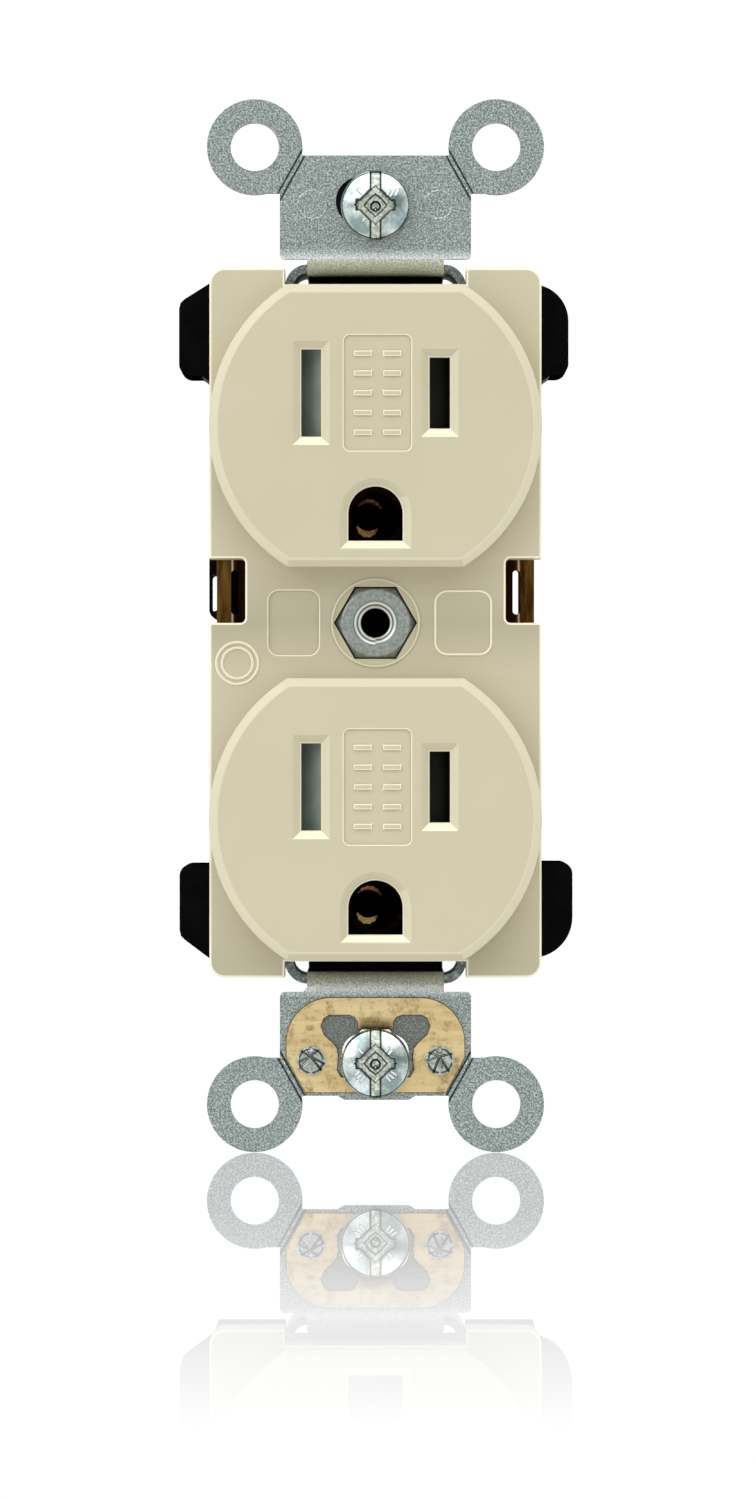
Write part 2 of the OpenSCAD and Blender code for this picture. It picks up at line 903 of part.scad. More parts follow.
// Slides sideways when both blades push on its ramps together
module shutter(outlet) {
  z = blade_z(outlet);
  color("#8a9199")
    difference() {
      slab(shutter_front, shutter_back)
        span(shutter_left, shutter_right, z - shutter_h / 2, z + shutter_h / 2);
      slab(shutter_front - cut, shutter_back + cut) {
        for (side = [-1, 1])
          translate([side * blade_x - shutter_travel, z])
            square([2.2, 8.8], center = true);
        span(window_left, 2.2, z - 1.4, z + 1.4);
      }
      translate([0, 0, z - 4.4])
        linear_extrude(8.8)
          for (side = [-1, 1]) {
            sink = side > 0 ? 1 : 0;
            translate([side * blade_x, shutter_front])
              polygon([[-1.4, -cut], [1.2, -cut], [1.2, sink], [-1.4, 3 + sink]]);
          }
    }
}

// Points of one ring of a round wire around the coil's axis, at a given turn angle
function ring_points(angle, sides) = [
  for (k = [0:sides - 1])
    let (
      reach = spring_r + spring_wire_d / 2 * cos(360 * k / sides),
      along = spring_l * angle / (360 * spring_turns)
    )
    [
      along * (spring_l - spring_wire_d) / spring_l + spring_wire_d / 2
        + spring_wire_d / 2 * sin(360 * k / sides),
      reach * cos(angle),
      reach * sin(angle)
    ]
];

module coil(turns, sides, steps_per_turn) {
  steps = turns * steps_per_turn;
  points = [for (i = [0:steps]) each ring_points(360 * i / steps_per_turn, sides)];
  walls = [
    for (i = [0:steps - 1], k = [0:sides - 1])
      each [
        [i * sides + k, (i + 1) * sides + k, i * sides + (k + 1) % sides],
        [i * sides + (k + 1) % sides, (i + 1) * sides + k, (i + 1) * sides + (k + 1) % sides]
      ]
  ];
  first_cap = [[for (k = [0:sides - 1]) k]];
  last_cap = [[for (k = [0:sides - 1]) steps * sides + sides - 1 - k]];
  polyhedron(points, concat(walls, first_cap, last_cap));
}

module shutter_spring(outlet) {
  color("silver")
    translate([window_left + 0.05, spring_y, blade_z(outlet)])
      coil(spring_turns, 6, 14);
}

// ---- Side terminals ----

module wire_clamp(side, z) {
  difference() {
    translate([side * (clamp_in + clamp_t / 2), terminal_y, z])
      cube([clamp_t, 8.6, 10.4], center = true);
    rod_x(side, z, terminal_thread_r + 0.05, clamp_in - cut, clamp_in + clamp_t + cut);
    // Grooves that hold the wires on the inner side
    for (wire = [-1, 1])
      translate([side * clamp_in, terminal_y, z + wire * 3.5])
        rotate([90, 0, 0])
          cylinder(r = 0.5, h = 10, center = true);
  }
}

module terminal_screw(side, z) {
  difference() {
    union() {
      rod_x(side, z, terminal_thread_r, screw_inner_end, head_in + eps);
      rod_x(side, z, terminal_head_r, head_in, head_in + head_t);
    }
    translate([side * (head_in + head_t), terminal_y, z])
      rotate([side * 20, 0, 0])
        cube([2.2, 2 * terminal_head_r + 1, 1.2], center = true);
  }
}

module hot_upper_clamp() {
  color("#c29a4a")
    wire_clamp(1, upper_terminal_z);
}

module hot_lower_clamp() {
  color("#c29a4a")
    wire_clamp(1, lower_terminal_z);
}

module neutral_upper_clamp() {
  color("#b9bdb8")
    wire_clamp(-1, upper_terminal_z);
}

module neutral_lower_clamp() {
  color("#b9bdb8")
    wire_clamp(-1, lower_terminal_z);
}

module hot_upper_screw() {
  color("#b98f3e")
    terminal_screw(1, upper_terminal_z);
}

module hot_lower_screw() {
  color("#b98f3e")
    terminal_screw(1, lower_terminal_z);
}

module neutral_upper_screw() {
  color("#c4c8c6")
    terminal_screw(-1, upper_terminal_z);
}

module neutral_lower_screw() {
  color("#c4c8c6")
    terminal_screw(-1, lower_terminal_z);
}

// ---- Ground terminal ----

module ground_clamp() {
  y = web_back + 0.3;
  color("#b9bdb8")
    difference() {
      slab(y, y + 1)
        translate([0, ground_screw_z])
          rounded_rect(11, 8.6, 0.6);
      rod_y(0, ground_screw_z, terminal_thread_r + 0.05, y - cut, y + 1 + cut);
    }
}

module ground_screw() {
  y = web_back + 1.4;
  color("#2f7d46")
    difference() {
      union() {
        rod_y(0, ground_screw_z, terminal_thread_r, 17, y + eps);
        rod_y(0, ground_screw_z, 4.3, y, y + 0.6);
        translate([0, 0, ground_screw_z])
          slab(y, y + 2.6)
            hexagon(7.2);
      }
      translate([0, y + 2.6, ground_screw_z])
        cube([9.4, 2, 1.2], center = true);
    }
}

// ---- Box screws ----

// The thread starts behind the retainer, which sits on a thinner neck
module box_screw(z) {
  seat = -strap_t - clip_t - 0.13;
  dome = 1.9;
  color("#aab6b2")
    difference() {
      union() {
        rod_y(0, z, box_neck_r, seat - eps, 1 + eps);
        rod_y(0, z, box_thread_r, 1, seat + box_screw_l);
        translate([0, 0, z])
          from_plane(seat)
            intersection() {
              cylinder(r = box_head_r, h = dome);
              translate([0, 0, dome - 7])
                sphere(7);
            }
      }
      translate([0, seat - dome, z])
        cube([1.15, 2 * 1.1, 2 * box_head_r + 1], center = true);
      translate([0, seat - dome, z])
        cube([3.6, 2 * 1.1, 0.9], center = true);
    }
}

// A fibre plate or disc on the shank keeps the box screw in its slot
module screw_retainer(z) {
  color("#202020")
    slab(0.1, 0.9)
      translate([0, z])
        difference() {
          children();
          circle(box_neck_r + 0.05);
        }
}

module upper_screw_retainer() {
  screw_retainer(upper_screw_z)
    rounded_rect(9.6, 6.4, 0.8);
}

module lower_screw_retainer() {
  screw_retainer(lower_screw_z)
    circle(3.2);
}

face_cover();
rear_body();
mounting_strap();
centre_post();
grounding_clip();
clip_rivets();
hot_contact();
neutral_contact();
ground_contact(1);  // upper_ground_contact
ground_contact(-1);  // lower_ground_contact
ground_contact_rivets();
shutter_tray(1);  // upper_shutter_tray
shutter_tray(-1);  // lower_shutter_tray
shutter(1);  // upper_shutter
shutter(-1);  // lower_shutter
shutter_spring(1);  // upper_shutter_spring
shutter_spring(-1);  // lower_shutter_spring
hot_upper_clamp();
hot_lower_clamp();
neutral_upper_clamp();
neutral_lower_clamp();
hot_upper_screw();
hot_lower_screw();
neutral_upper_screw();
neutral_lower_screw();
ground_clamp();
ground_screw();
upper_screw_retainer();
lower_screw_retainer();
box_screw(upper_screw_z);  // upper_box_screw
box_screw(lower_screw_z);  // lower_box_screw
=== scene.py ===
"""Duplex wall outlet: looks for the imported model, in metres, in the model's own frame."""

import json
import math

import bmesh
import bpy
from mathutils import Matrix, Vector


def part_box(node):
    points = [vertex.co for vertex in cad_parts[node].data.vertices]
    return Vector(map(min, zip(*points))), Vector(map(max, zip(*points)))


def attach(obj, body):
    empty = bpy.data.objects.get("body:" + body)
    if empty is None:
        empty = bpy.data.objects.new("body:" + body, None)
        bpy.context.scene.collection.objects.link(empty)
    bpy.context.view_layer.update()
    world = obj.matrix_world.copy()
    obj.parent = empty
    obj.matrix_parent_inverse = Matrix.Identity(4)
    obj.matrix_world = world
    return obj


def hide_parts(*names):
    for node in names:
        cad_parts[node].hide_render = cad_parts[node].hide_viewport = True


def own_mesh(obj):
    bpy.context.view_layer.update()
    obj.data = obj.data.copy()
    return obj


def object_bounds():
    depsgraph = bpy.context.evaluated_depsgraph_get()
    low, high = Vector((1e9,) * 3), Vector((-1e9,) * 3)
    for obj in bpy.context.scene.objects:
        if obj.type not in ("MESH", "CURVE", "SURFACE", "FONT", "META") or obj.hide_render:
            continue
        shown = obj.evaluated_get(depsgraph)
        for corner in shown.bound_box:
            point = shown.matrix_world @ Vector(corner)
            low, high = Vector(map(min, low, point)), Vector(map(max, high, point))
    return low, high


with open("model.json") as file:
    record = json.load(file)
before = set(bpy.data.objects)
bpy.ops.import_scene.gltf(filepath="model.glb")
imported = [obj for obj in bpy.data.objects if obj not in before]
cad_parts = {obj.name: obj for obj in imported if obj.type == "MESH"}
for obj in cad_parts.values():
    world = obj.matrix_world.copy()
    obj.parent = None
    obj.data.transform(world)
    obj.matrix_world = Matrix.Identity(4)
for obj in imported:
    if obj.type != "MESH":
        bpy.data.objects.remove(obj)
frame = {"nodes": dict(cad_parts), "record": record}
cad_lo, cad_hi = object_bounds()
nodes = frame["nodes"]
MM = 0.001

# ---- Camera ----------------------------------------------------------------------------

VIEW_DISTANCE = 0.9
FRAME_HEIGHT = 149.2 * MM
FRAME_CENTRE = (0.25 * MM, -12.6 * MM)


def make_camera():
    """A level camera in front of the outlet, which stands above the middle of the picture."""
    data = bpy.data.cameras.new("camera")
    data.sensor_width = 36
    data.lens = data.sensor_width * VIEW_DISTANCE / FRAME_HEIGHT
    data.clip_start, data.clip_end = 0.05, 20
    camera = bpy.data.objects.new("camera", data)
    camera.location = (FRAME_CENTRE[0], -VIEW_DISTANCE, FRAME_CENTRE[1])
    camera.rotation_euler = (math.radians(90), 0, 0)
    bpy.context.scene.collection.objects.link(camera)
    bpy.context.scene.camera = camera


make_camera()

# ---- Material tools --------------------------------------------------------------------


def maths(tree, operation, first, second=0.0):
    """A Math node's output; each value is a number or another node's output."""
    node = tree.nodes.new("ShaderNodeMath")
    node.operation = operation
    for socket, value in zip(node.inputs, (first, second)):
        if isinstance(value, (int, float)):
            socket.default_value = value
        else:
            tree.links.new(value, socket)
    return node.outputs[0]


def map_range(tree, value, from_lo, from_hi, to_lo, to_hi):
    """A value stretched from one range to another and kept inside it."""
    node = tree.nodes.new("ShaderNodeMapRange")
    limits = (("From Min", from_lo), ("From Max", from_hi), ("To Min", to_lo), ("To Max", to_hi))
    for socket, number in limits:
        node.inputs[socket].default_value = number
    tree.links.new(value, node.inputs["Value"])
    return node.outputs["Result"]


class Shader:
    """A new material with a Principled shader and short calls for the nodes that feed it."""

    def __init__(self, name, roughness, metallic=0.0, specular=0.5):
        self.material = bpy.data.materials.new(name)
        self.material.use_nodes = True
        self.tree = self.material.node_tree
        self.nodes = self.tree.nodes
        self.links = self.tree.links
        self.shader = self.nodes["Principled BSDF"]
        self.shader.inputs["Roughness"].default_value = roughness
        self.shader.inputs["Metallic"].default_value = metallic
        self.shader.inputs["Specular IOR Level"].default_value = specular
        self.place = self.nodes.new("ShaderNodeTexCoord").outputs["Object"]

    def stretched(self, x, y, z):
        """Object coordinates with each axis scaled, for streaks and brush marks."""
        mapping = self.nodes.new("ShaderNodeMapping")
        mapping.inputs["Scale"].default_value = (x, y, z)
        self.links.new(self.place, mapping.inputs["Vector"])
        return mapping.outputs["Vector"]

    def noise(self, scale, detail=4.0, roughness=0.55, at=None):
        node = self.nodes.new("ShaderNodeTexNoise")
        node.inputs["Scale"].default_value = scale
        node.inputs["Detail"].default_value = detail
        node.inputs["Roughness"].default_value = roughness
        self.links.new(at or self.place, node.inputs["Vector"])
        return node.outputs["Fac"]

    def ramp(self, value, stops):
        """Colours along a value: stops is a list of (position, colour)."""
        node = self.nodes.new("ShaderNodeValToRGB")
        while len(node.color_ramp.elements) < len(stops):
            node.color_ramp.elements.new(0.5)
        for element, (position, colour) in zip(node.color_ramp.elements, stops):
            element.position = position
            element.color = (*colour, 1)
        self.links.new(value, node.inputs["Fac"])
        return node.outputs["Color"]

    def mix(self, factor, first, second, blend="MIX"):
        """Blends two colours; each value is a constant or another node's output."""
        node = self.nodes.new("ShaderNodeMix")
        node.data_type = "RGBA"
        node.blend_type = blend
        for socket, value in ((0, factor), (6, first), (7, second)):
            if isinstance(value, (int, float)):
                node.inputs[socket].default_value = value
            elif isinstance(value, tuple):
                node.inputs[socket].default_value = (*value, 1)
            else:
                self.links.new(value, node.inputs[socket])
        return node.outputs[2]

    def spread(self, value, low, high, start=0.3, end=0.7):
        """Stretches a value from start..end to low..high."""
        return map_range(self.tree, value, start, end, low, high)

    def times(self, first, second):
        return maths(self.tree, "MULTIPLY", first, second)

    def less(self, value, amount):
        return maths(self.tree, "SUBTRACT", value, amount)

    def size(self, value):
        return maths(self.tree, "ABSOLUTE", value)

    def axis(self, letter):
        """One object coordinate, in mm."""
        split = self.nodes.new("ShaderNodeSeparateXYZ")
        self.links.new(self.place, split.inputs["Vector"])
        return self.times(split.outputs[letter], 1000.0)

    def radius(self, x, z):
        """The length of the vector (x, z)."""
        squares = maths(self.tree, "ADD", self.times(x, x), self.times(z, z))
        return maths(self.tree, "SQRT", squares)

    def between(self, value, low, high, soft=0.3):
        """1 where a value lies between low and high, fading to 0 outside."""
        rise = self.spread(value, 0.0, 1.0, low - soft, low + soft)
        fall = self.spread(value, 1.0, 0.0, high - soft, high + soft)
        return self.times(rise, fall)

    def colour(self, value):
        self.links.new(value, self.shader.inputs["Base Color"])

    def rough(self, value):
        self.links.new(value, self.shader.inputs["Roughness"])

    def bump(self, height, strength, depth_mm):
        """Adds fine relief on top of any that the material has already."""
        node = self.nodes.new("ShaderNodeBump")
        node.inputs["Strength"].default_value = strength
        node.inputs["Distance"].default_value = depth_mm * MM
        self.links.new(height, node.inputs["Height"])
        previous = self.shader.inputs["Normal"]
        if previous.is_linked:
            self.links.new(previous.links[0].from_socket, node.inputs["Normal"])
        self.links.new(node.outputs["Normal"], previous)


def srgb(red, green, blue):
    """A linear colour from 0-255 display values."""
    shares = (red / 255, green / 255, blue / 255)
    return tuple(((c + 0.055) / 1.055) ** 2.4 if c > 0.0393 else c / 12.92 for c in shares)


WHITE = (1, 1, 1)
NO_LIGHT = (0.0, 0.0, 0.0)
# Painted highlight colour for pale lines on the ivory's edges
IVORY_HIGHLIGHT = srgb(246, 239, 212)


def ivory(name="ivory_nylon", highlight_lift=0):
    """Ivory nylon; a raised level makes brighter copies that paint highlights on rounded edges.

    The flat base has painted shade between the outlets and at its lower end. Painted highlights
    make its side edges pale, and a thin ring round the centre post too."""
    s = Shader(name, 0.34)
    low, high = srgb(196 + highlight_lift, 189 + highlight_lift, 160 + highlight_lift), srgb(200 + highlight_lift, 193 + highlight_lift, 165 + highlight_lift)
    plain = s.ramp(s.noise(60, 3), [(0.3, low), (0.7, high)])
    x, y, z = s.axis("X"), s.axis("Y"), s.axis("Z")
    # Painted shade: the flat base darkens between the outlets and toward its lower end
    base_shade = s.ramp(s.spread(z, 0.0, 1.0, -35, 35), [
        (0.02, (0.82,) * 3), (0.12, WHITE), (0.43, (0.97,) * 3), (0.5, (0.76,) * 3), (0.59, WHITE),
    ])
    base = s.spread(y, 0.0, 0.0 if highlight_lift else 1.0, -4.2, -3.6)
    darker = s.mix(base, plain, s.mix(1.0, plain, base_shade, "MULTIPLY"))
    # Painted highlights: a pale line along the base's side edges and a thin pale ring round the post
    side = s.times(s.spread(s.size(x), 0.0, 1.0, 16.22, 16.3), s.between(y, -3.6, -3.3, 0.03))
    ring = s.times(s.between(s.radius(x, z), 4.25, 4.38, 0.04), base)
    s.colour(s.mix(s.times(ring, 0.5), s.mix(side, darker, IVORY_HIGHLIGHT), IVORY_HIGHLIGHT))
    s.rough(s.spread(s.noise(400, 4), 0.3, 0.4))
    s.bump(s.noise(5200, 3), 0.1, 0.01)
    return s.material


def black(name="black_thermoplastic", specular=0.05):
    """Black plastic; without specular light it is quite matt."""
    s = Shader(name, 0.6, specular=specular)
    s.colour(s.ramp(s.noise(900, 4), [(0.4, NO_LIGHT), (0.8, (0.002, 0.002, 0.002))]))
    s.rough(s.spread(s.noise(700, 4), 0.5, 0.7))
    s.bump(s.noise(4200, 4), 0.2, 0.02)
    return s.material


def steel(name, dark, light, rough_low, rough_high, grain=0.3):
    """Zinc-coated steel: soft clouds under a fine grain of lighter and darker crystals."""
    s = Shader(name, rough_low, metallic=1.0)
    middle = tuple((a + b) / 2 for a, b in zip(dark, light))
    cloud = s.ramp(s.noise(260, 4, 0.6), [(0.35, middle), (0.65, light)])
    fine = s.ramp(s.noise(3300, 3, 0.7), [(0.42, dark), (0.6, light)])
    s.colour(s.mix(0.72, cloud, fine))
    s.rough(s.spread(s.noise(1500, 5), rough_low, rough_high))
    s.bump(s.noise(3000, 4, 0.7), grain, 0.02)
    return s.material


def brass(name, dark, light, rough=0.38):
    """Rolled brass with fine streaks."""
    s = Shader(name, rough, metallic=1.0)
    streaks = s.noise(420, 6, 0.65, at=s.stretched(0.35, 1, 2.5))
    s.colour(s.ramp(streaks, [(0.3, dark), (0.7, light)]))
    s.rough(s.spread(s.noise(900, 4), rough - 0.06, rough + 0.12))
    s.bump(s.noise(2600, 5), 0.3, 0.015)
    return s.material


def moulded(name, dark, light, rough=0.45):
    """Plain moulded plastic or paint, slightly mottled."""
    s = Shader(name, rough)
    s.colour(s.ramp(s.noise(350, 4), [(0.35, dark), (0.7, light)]))
    s.bump(s.noise(3600, 4), 0.15, 0.015)
    return s.material


def clip_brass():
    """Rolled brass; painted shade darkens the tab above the screw, toward the screw head."""
    s = Shader("clip_brass", 0.4, metallic=1.0)
    streaks = s.noise(420, 6, 0.65, at=s.stretched(0.35, 1, 2.5))
    plain = s.ramp(streaks, [(0.3, srgb(208, 184, 130)), (0.7, srgb(236, 216, 166))])
    blotches = s.ramp(s.noise(900, 5, 0.7), [(0.32, srgb(150, 125, 76)), (0.5, srgb(255, 255, 255))])
    worn = s.mix(0.6, plain, blotches, "MULTIPLY")
    x, z = s.size(s.axis("X")), s.axis("Z")
    # Painted shade on the tab above the screw
    tongue_shade = s.times(s.spread(z, 1.0, 0.0, -40.2, -39.1), s.spread(z, 0.0, 1.0, -42, -41.8))
    tongue_shade = s.times(s.spread(x, 1.0, 0.0, 1.3, 2.1), tongue_shade)
    s.colour(s.mix(tongue_shade, worn, srgb(70, 52, 20)))
    s.rough(s.spread(s.noise(900, 4), 0.34, 0.52))
    s.bump(s.noise(2600, 5), 0.3, 0.015)
    return s.material


def contact_brass():
    """Brass strip; painted shade makes the break-off fins in the cover's notches browner and their
    inner legs nearly black, and a painted highlight draws a pale line on the burred edge.
    """
    s = Shader("contact_brass", 0.38, metallic=1.0)
    streaks = s.noise(420, 6, 0.65, at=s.stretched(2.5, 1, 0.35))
    plain = s.ramp(streaks, [(0.3, srgb(150, 112, 45)), (0.7, srgb(205, 165, 90))])
    # Painted shade in the cover's notches: browner fins and nearly black inner legs
    notch_shade = s.ramp(streaks, [(0.35, srgb(58, 36, 8)), (0.65, srgb(132, 100, 48))])
    deep_notch_shade = s.ramp(streaks, [(0.35, srgb(14, 6, 4)), (0.65, srgb(52, 26, 14))])
    x = s.size(s.axis("X"))
    fin = s.times(s.between(s.axis("Z"), -0.6, 7.0), s.spread(s.axis("Y"), 1.0, 0.0, 8.2, 8.6))
    legs = s.mix(s.spread(x, 0.0, 1.0, 14.0, 14.4), deep_notch_shade, notch_shade)
    # Painted highlight: a pale line along the burred edge of the fin
    burr_highlight = s.between(x, 14.28, 14.42, 0.06)
    s.colour(s.mix(fin, plain, s.mix(burr_highlight, legs, srgb(235, 215, 190))))
    s.rough(s.spread(s.noise(900, 4), 0.34, 0.5))
    s.bump(s.noise(2600, 5), 0.3, 0.015)
    return s.material


def shutter_plastic():
    """Grey plastic, with painted shade that makes the deeper ramp behind the line slot nearly black.
    """
    s = Shader("shutter_plastic", 0.45)
    grain = s.noise(350, 4)
    plain = s.ramp(grain, [(0.35, srgb(150, 163, 160)), (0.7, srgb(165, 178, 174))])
    x = s.axis("X")
    # Painted shade on the deeper ramp behind the line slot
    deep = s.mix(s.spread(x, 0.0, 1.0, 5.5, 7.0), srgb(92, 92, 80), NO_LIGHT)
    s.colour(s.mix(s.between(x, 4.4, 7.8, 0.1), plain, deep))
    s.bump(s.noise(3600, 4), 0.15, 0.015)
    return s.material


def post_steel():
    """Grey plated steel; painted highlights and shade make light and dark rings at the tapped hole's
    mouth, and painted shade makes the hole black.
    """
    s = Shader("post_steel", 0.42, metallic=1.0)
    plain = s.ramp(s.noise(3000, 3, 0.7), [(0.4, srgb(140, 147, 143)), (0.62, srgb(172, 178, 171))])
    x, y, z = s.axis("X"), s.axis("Y"), s.axis("Z")
    turn = maths(s.tree, "DIVIDE", maths(s.tree, "ARCTAN2", x, z), 2 * math.pi)
    radius = s.radius(x, z)
    winding = maths(s.tree, "ADD", radius, s.times(turn, 0.12))
    # Painted highlights and shade: light and dark rings in the hole's mouth
    rings = s.ramp(s.spread(winding, 0.0, 1.0, 1.3, 2.3), [
        (0.0, NO_LIGHT), (0.1, srgb(60, 62, 58)), (0.2, srgb(215, 220, 214)),
        (0.34, srgb(225, 228, 222)), (0.42, srgb(70, 74, 70)), (0.55, srgb(150, 155, 149)),
        (0.64, srgb(235, 238, 233)), (0.74, srgb(205, 210, 204)), (0.84, srgb(110, 115, 110)),
        (1.0, srgb(145, 150, 144)),
    ])
    mouth = s.times(s.spread(radius, 1.0, 0.0, 2.2, 2.3), s.spread(y, 1.0, 0.0, -2.75, -2.7))
    # Painted shade: the tapped hole is black
    bore_shade = s.times(s.spread(radius, 1.0, 0.0, 1.42, 1.45), s.spread(y, 0.0, 1.0, -3.2, -2.6))
    s.colour(s.mix(bore_shade, s.mix(mouth, plain, rings), NO_LIGHT))
    s.rough(s.spread(s.noise(1500, 5), 0.35, 0.5))
    s.bump(s.noise(3000, 4, 0.7), 0.2, 0.02)
    return s.material


def strap_steel():
    """Galvanised strap steel: warmer and lighter on the necks near the cover, with painted shade
    where the clip's cut-outs show it, and a stamped ring on each side of the upper screw."""
    s = Shader("galvanised_steel", 0.45, metallic=1.0)
    cloud = s.ramp(s.noise(260, 4, 0.6), [(0.35, srgb(148, 160, 158)), (0.65, srgb(164, 176, 173))])
    grain = s.noise(5600, 3, 0.7)
    fine = s.ramp(grain, [
        (0.37, srgb(88, 100, 99)), (0.5, srgb(148, 159, 156)), (0.63, srgb(220, 228, 223)),
    ])
    flat = s.mix(0.8, cloud, fine)
    warm = s.ramp(grain, [(0.4, srgb(190, 204, 204)), (0.62, srgb(255, 255, 255))])
    x, y, z = s.size(s.axis("X")), s.axis("Y"), s.axis("Z")
    # Painted shade where the strap shows through the clip's cut-outs
    window_shade = s.times(s.spread(x, 1.0, 0.0, 7.6, 8.4), s.between(z, -42.5, -38.6))
    window_shade = s.times(window_shade, s.spread(y, 1.0, 0.0, -1.2, -1.1))
    flat = s.mix(s.times(window_shade, 0.6), flat, srgb(92, 92, 84))
    neck = s.times(s.spread(s.size(z), 1.0, 0.0, 36.2, 37.2), s.spread(y, 1.0, 0.0, 2.0, 4.0))
    s.colour(s.mix(neck, flat, warm))
    s.rough(s.spread(s.noise(1500, 5), 0.42, 0.56))
    s.bump(s.noise(5000, 4, 0.7), 0.3, 0.02)
    from_stamp = s.radius(s.less(x, 6.25), s.less(z, 41.5))
    s.bump(s.between(from_stamp, 1.3, 1.5, 0.06), 0.9, 0.06)
    return s.material


def screw_zinc():
    """Bright zinc plate with soft darker and lighter patches."""
    s = Shader("screw_zinc", 0.16, metallic=1.0)
    patches = s.ramp(s.noise(430, 3, 0.5), [
        (0.36, srgb(150, 167, 167)), (0.48, srgb(204, 217, 215)), (0.62, srgb(240, 249, 249)),
    ])
    fine = s.ramp(s.noise(3300, 3, 0.7), [(0.42, srgb(190, 200, 198)), (0.6, WHITE)])
    s.colour(s.mix(0.4, patches, fine, "MULTIPLY"))
    s.rough(s.spread(s.noise(1500, 5), 0.12, 0.22))
    s.bump(s.noise(1500, 3), 0.1, 0.02)
    return s.material


MATERIALS = {
    "ivory_nylon": ivory(),
    "black_thermoplastic": black(),
    "galvanised_steel": strap_steel(),
    "zinc_steel": steel("zinc_steel", srgb(150, 160, 157), srgb(188, 196, 191), 0.25, 0.38, 0.15),
    "clip_brass": clip_brass(),
    "contact_brass": contact_brass(),
    "green_steel": moulded("green_steel", srgb(30, 92, 52), srgb(45, 120, 70), 0.3),
    "black_fibre": moulded("black_fibre", (0.004, 0.004, 0.004), (0.01, 0.01, 0.01), 0.8),
    "tray_plastic": moulded("tray_plastic", srgb(40, 43, 44), srgb(52, 56, 57)),
    "shutter_plastic": shutter_plastic(),
    "spring_steel": steel("spring_steel", srgb(150, 150, 150), srgb(200, 200, 200), 0.25, 0.4, 0.1),
}
# Painted shade: dark brass for the ground sleeves deep in their holes
SHADED_GROUND_BRASS = brass("shaded_ground_brass", srgb(20, 10, 5), srgb(70, 42, 18), 0.5)
# Painted light on the lips at the back of the ground sleeves: a shaded copy and a lit, brighter copy
SHADED_LIP = brass("shaded_lip_brass", srgb(60, 34, 20), srgb(190, 130, 90), 0.3)
LIT_LIP = brass("lit_lip_brass", srgb(150, 90, 30), srgb(255, 225, 150), 0.2)
POST_STEEL = post_steel()
MATT_BLACK = black("matt_black_thermoplastic", 0.0)
# Painted highlights: brighter ivory copies for the rounded edges and the rims
IVORY_EDGE_HIGHLIGHT = ivory("ivory_edge_highlight", 48)
IVORY_RIM_HIGHLIGHT = ivory("ivory_rim_highlight", 14)
# Painted shade: dark copies of steel and brass for the rounded edges of the strap and the clip, and
# for the cuts in the rivet heads
STEEL_EDGE_SHADE = steel("steel_edge_shade", srgb(60, 68, 66), srgb(100, 110, 107), 0.4, 0.5)
CLIP_EDGE_SHADE = brass("clip_edge_shade", srgb(76, 60, 28), srgb(130, 106, 62), 0.42)
SCREW_ZINC = screw_zinc()
# Painted shade: dark steel for the steep creases of the screw heads
SCREW_CREASE_SHADE = steel("screw_crease_shade", srgb(36, 46, 44), srgb(78, 90, 86), 0.3, 0.4)
# Painted highlight: near-white steel for the raised tool marks on the screw heads
SCREW_TICK_HIGHLIGHT = steel("screw_tick_highlight", srgb(235, 242, 240), srgb(255, 255, 255), 0.25, 0.4, 0.1)
SCREW_FLOOR = steel("screw_floor", srgb(130, 140, 130), srgb(232, 238, 226), 0.3, 0.45, 0.4)
RIVET_STEEL = steel("rivet_steel", srgb(140, 147, 140), srgb(205, 211, 205), 0.34, 0.48, 0.3)

# ---- Pieces built here --------------------------------------------------------------------

record = frame["record"]
slots = {part["node"]: part["material_slot"] for part in record["subparts"]}
body_of_node = {n: body for body, members in record["behaviour"]["bodies"].items() for n in members}


def new_piece(name, mesh, node, material=None, replaces=True):
    """Links a mesh as a piece that rides with a node's body, and may stand in for the node."""
    o = bpy.data.objects.new(name, mesh)
    bpy.context.scene.collection.objects.link(o)
    mesh.materials.append(material or MATERIALS[slots[node]])
    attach(o, body_of_node[node])
    if replaces:
        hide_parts(node)
    return o


def finish_mesh(bm, name, sharp_deg=34):
    """Writes a bmesh out with smooth faces and its steep edges kept sharp."""
    mesh = bpy.data.meshes.new(name)
    for face in bm.faces:
        face.smooth = True
    for edge in bm.edges:
        steep = len(edge.link_faces) == 2 and edge.calc_face_angle(0) > math.radians(sharp_deg)
        edge.smooth = not steep
    bm.to_mesh(mesh)
    bm.free()
    return mesh


def weighted(o):
    """Flat faces keep flat shading next to their rounded edges."""
    normals = o.modifiers.new("normals", "WEIGHTED_NORMAL")
    normals.keep_sharp = True


def join_rings(bm, rings):
    """Faces between each ring of points and the next."""
    for first, second in zip(rings, rings[1:]):
        for k in range(len(first)):
            j = (k + 1) % len(first)
            bm.faces.new((first[k], first[j], second[j], second[k]))


def close_tube(bm, rings, name, sharp_deg):
    """The mesh of a tube through the rings, with both ends closed."""
    join_rings(bm, rings)
    bm.faces.new(rings[0][::-1])
    bm.faces.new(rings[-1])
    bmesh.ops.recalc_face_normals(bm, faces=bm.faces)
    return finish_mesh(bm, name, sharp_deg)


